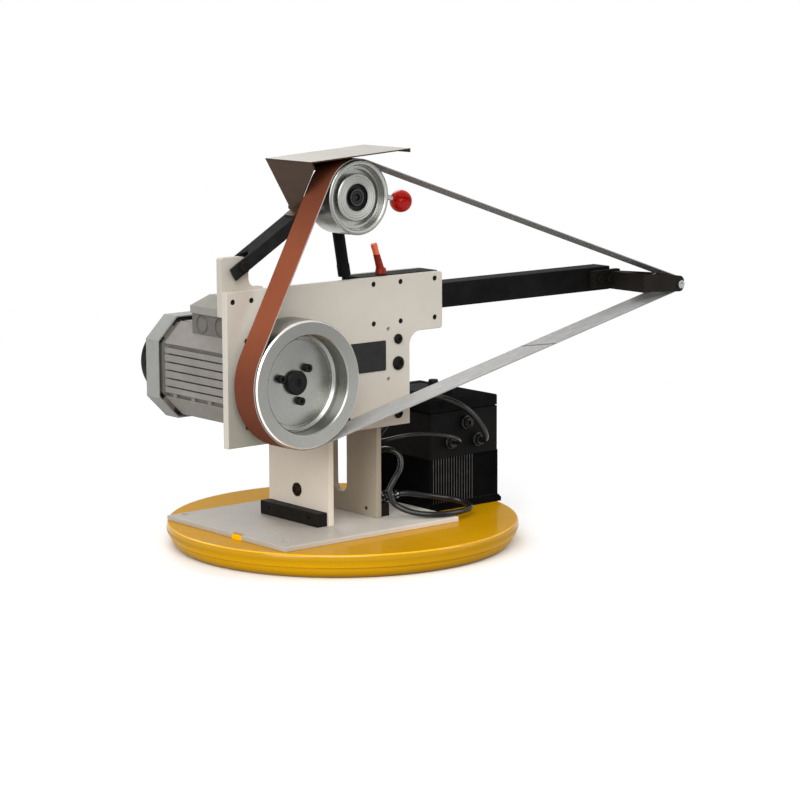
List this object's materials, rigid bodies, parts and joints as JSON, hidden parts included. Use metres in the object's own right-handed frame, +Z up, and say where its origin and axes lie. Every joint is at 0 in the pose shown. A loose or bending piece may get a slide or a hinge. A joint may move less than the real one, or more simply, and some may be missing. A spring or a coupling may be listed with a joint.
{
  "type": "belt grinder",
  "caption": "Motor-driven belt grinder for knives on a round base: drive wheel, sprung tension arm, sliding tool arm with small-wheel fork.",
  "frame": {"origin": "centre of the round base's underside", "axes": "+X along the tool arm to the small wheel, +Y towards the motor, +Z up"},
  "size_m": [0.9071, 0.5708, 0.644],
  "materials": {
    "yellow_gloss": "gloss amber yellow",
    "plate_paint": "satin warm light grey paint",
    "black_bar": "satin black",
    "black_oxide": "black oxide steel",
    "bright_steel": "ground steel",
    "turned_aluminium": "bright turned",
    "abrasive": "cloth-backed abrasive",
    "motor_grey": "light grey painted casting",
    "sheet_grey": "satin light grey sheet",
    "lamination": "stacked lamination",
    "grille_black": "matt black",
    "inverter_black": "fine matt black",
    "rubber_black": "matt black sheath",
    "connector_metal": "plated",
    "orange_grip": "orange moulded",
    "red_ball": "glossy red",
    "nameplate_black": "bare black plate"
  },
  "bodies": {
    "frame": {"round_base": "yellow_gloss", "base_plate": "plate_paint", "upright_left": "plate_paint", "upright_right": "plate_paint", "foot_bars": "black_bar", "plate_angles": "plate_paint", "main_plate": "plate_paint", "nameplate": "nameplate_black", "ear_plate": "plate_paint", "receiver_top_bar": "black_bar", "receiver_bottom_bar": "black_bar", "receiver_back_plate": "plate_paint", "frame_screws": "black_oxide", "frame_bolts": "black_oxide", "strut_stud": "black_oxide", "motor_front_shield": "motor_grey", "motor_body": "motor_grey", "motor_rear_shield": "motor_grey", "motor_bearings": "bright_steel", "stator": "lamination", "fan_cowl": "motor_grey", "fan_grille": "grille_black", "terminal_box": "motor_grey", "terminal_lid": "motor_grey", "inverter_base": "inverter_black", "inverter_case": "inverter_black", "inverter_lid": "inverter_black", "inverter_keypad": "inverter_black", "cable_glands": "grille_black", "motor_lead": "rubber_black", "supply_lead": "rubber_black", "supply_connector": "connector_metal", "abrasive_belt": "abrasive"},
    "drive": {"motor_shaft": "bright_steel", "rotor_core": "lamination", "cooling_fan": "grille_black", "drive_hub": "turned_aluminium", "drive_wheel": "turned_aluminium", "hub_cap": "black_oxide", "hub_screws": "black_oxide"},
    "tension_arm": {"tension_arm": "black_bar", "roof_guard": "sheet_grey", "handle_rod": "bright_steel", "handle_knob": "red_ball", "tracking_pin": "black_oxide"},
    "tracking": {"tracking_block": "bright_steel", "upper_axle": "black_oxide"},
    "tracking_knob": {"tracking_knob": "grille_black"},
    "upper_wheel": {"upper_wheel": "turned_aluminium", "upper_bearings": "black_oxide"},
    "strut_cylinder": {"strut_cylinder": "black_bar"},
    "strut_rod": {"strut_rod": "black_oxide"},
    "tool_arm": {"tool_arm": "black_bar", "tip_fork": "black_bar", "fork_screws": "black_oxide", "tip_axle": "bright_steel"},
    "tip_wheel": {"tip_wheel": "bright_steel", "tip_bearings": "bright_steel"},
    "clamp_lever": {"clamp_lever": "orange_grip"},
    "speed_knob": {"speed_knob": "grille_black"}
  },
  "joints": [
    {"name": "drive_spin", "type": "hinge", "parent": "frame", "child": "drive", "pos_m": [-0.187, 0, 0.2935], "axis": [0, 1, 0], "continuous": true},
    {"name": "tension_tilt", "type": "hinge", "parent": "frame", "child": "tension_arm", "pos_m": [-0.2543, -0.071, 0.473], "axis": [0, 1, 0], "range_deg": [0, 10], "stiffness_Nm_per_rad": 20, "springref_deg": -57.3, "deforming": ["abrasive_belt"]},
    {"name": "tracking_tilt", "type": "hinge", "parent": "tension_arm", "child": "tracking", "pos_m": [-0.08585, -0.071, 0.57262], "axis": [-0.509, 0, 0.8607], "range_deg": [-2, 2], "deforming": ["abrasive_belt"]},
    {"name": "tracking_turn", "type": "hinge", "parent": "tension_arm", "child": "tracking_knob", "pos_m": [-0.11512, -0.056, 0.55531], "axis": [0, 1, 0], "range_deg": [-300, 300], "deforming": ["abrasive_belt"]},
    {"name": "upper_spin", "type": "hinge", "parent": "tracking", "child": "upper_wheel", "pos_m": [-0.08585, 0, 0.57262], "axis": [0, 1, 0], "continuous": true},
    {"name": "strut_swing", "type": "hinge", "parent": "tension_arm", "child": "strut_cylinder", "pos_m": [-0.06762, -0.071, 0.58108], "axis": [0, 1, 0], "range_deg": [-8, 1]},
    {"name": "strut_slide", "type": "slide", "parent": "strut_cylinder", "child": "strut_rod", "axis": [-0.169, 0, 0.9856], "range_m": [-0.001, 0.04]},
    {"name": "tool_arm_slide", "type": "slide", "parent": "frame", "child": "tool_arm", "axis": [1, 0, 0], "range_m": [-0.03, 0], "deforming": ["abrasive_belt"]},
    {"name": "tip_spin", "type": "hinge", "parent": "tool_arm", "child": "tip_wheel", "pos_m": [0.603, 0, 0.3857], "axis": [0, 1, 0], "continuous": true},
    {"name": "clamp_turn", "type": "hinge", "parent": "frame", "child": "clamp_lever", "pos_m": [0.0365, -0.0565, 0.437], "axis": [0, 0, 1], "range_deg": [-90, 90]},
    {"name": "speed_turn", "type": "hinge", "parent": "frame", "child": "speed_knob", "pos_m": [0.195, 0.002, 0.22], "axis": [0, 0, -1], "range_deg": [0, 270]}
  ],
  "couplings": [
    {"joint": "upper_spin", "follows": "drive_spin", "ratio": 1.704},
    {"joint": "tip_spin", "follows": "drive_spin", "ratio": 7.4684},
    {"joint": "tracking_turn", "follows": "tracking_tilt", "ratio": 150},
    {"joint": "strut_swing", "follows": "tension_tilt", "ratio": -0.6445},
    {"joint": "strut_slide", "follows": "tension_tilt", "m_per_rad": 0.20544}
  ]
}
